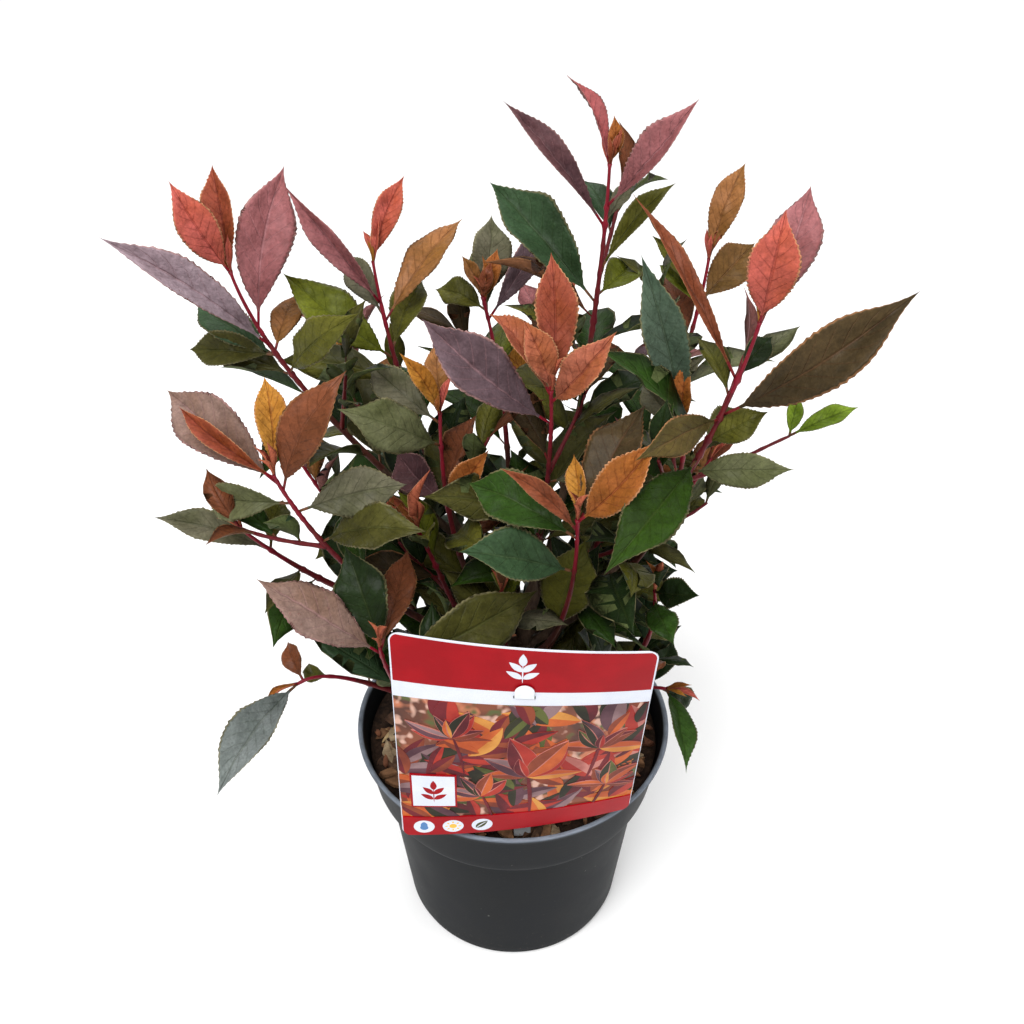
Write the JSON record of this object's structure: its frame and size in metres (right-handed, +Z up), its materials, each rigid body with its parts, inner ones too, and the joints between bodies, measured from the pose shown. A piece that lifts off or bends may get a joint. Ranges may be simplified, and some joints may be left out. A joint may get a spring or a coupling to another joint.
{
  "type": "potted photinia shrub",
  "caption": "Dwarf red-leaved photinia shrub in a round plastic nursery pot, with bark-topped soil and a hanging plant label on a stake.",
  "frame": {"origin": "centre of the pot's flat underside, on the surface that the pot stands on", "axes": "+Z up; the label faces -Y, which is the front; +X to the right seen from the front"},
  "size_m": [0.3511, 0.2973, 0.5098],
  "materials": {
    "pot_plastic": "dark grey moulded plastic, satin, lightly scuffed",
    "bark_soil": "dark potting soil under bark chips",
    "bark": "thin brown bark, dark red on young stems",
    "leaf": "leathery leaves, glossy above, from coral and bronze to dark green",
    "card": null,
    "strip_plastic": "translucent white plastic"
  },
  "bodies": {
    "root": {"bough_back_centre": "bark", "bough_back_left": "bark", "bough_back_right": "bark", "bough_drooping": "bark", "bough_far_left": "bark", "bough_front": "bark", "bough_inner_left": "bark", "bough_inner_right": "bark", "bough_low_edge": "bark", "bough_low_front": "bark", "bough_low_left": "bark", "bough_low_right": "bark", "bough_mid_centre": "bark", "bough_mid_left": "bark", "bough_mid_right": "bark", "bough_rear": "bark", "bough_rear_left": "bark", "bough_rear_right": "bark", "bough_right": "bark", "bough_side_left": "bark", "bough_side_right": "bark", "bough_top": "bark", "bough_upper_left": "bark", "foliage_back_centre": "leaf", "foliage_back_left": "leaf", "foliage_back_right": "leaf", "foliage_centre": "leaf", "foliage_drooping": "leaf", "foliage_far_left": "leaf", "foliage_front": "leaf", "foliage_inner_left": "leaf", "foliage_inner_right": "leaf", "foliage_low_edge": "leaf", "foliage_low_front": "leaf", "foliage_low_left": "leaf", "foliage_low_right": "leaf", "foliage_mid_centre": "leaf", "foliage_mid_left": "leaf", "foliage_mid_right": "leaf", "foliage_rear": "leaf", "foliage_rear_left": "leaf", "foliage_rear_right": "leaf", "foliage_right": "leaf", "foliage_side_left": "leaf", "foliage_side_right": "leaf", "foliage_top": "leaf", "foliage_upper_left": "leaf", "label_card": "card", "label_strip": "strip_plastic", "pot": "pot_plastic", "soil": "bark_soil", "trunk": "bark"}
  },
  "joints": []
}
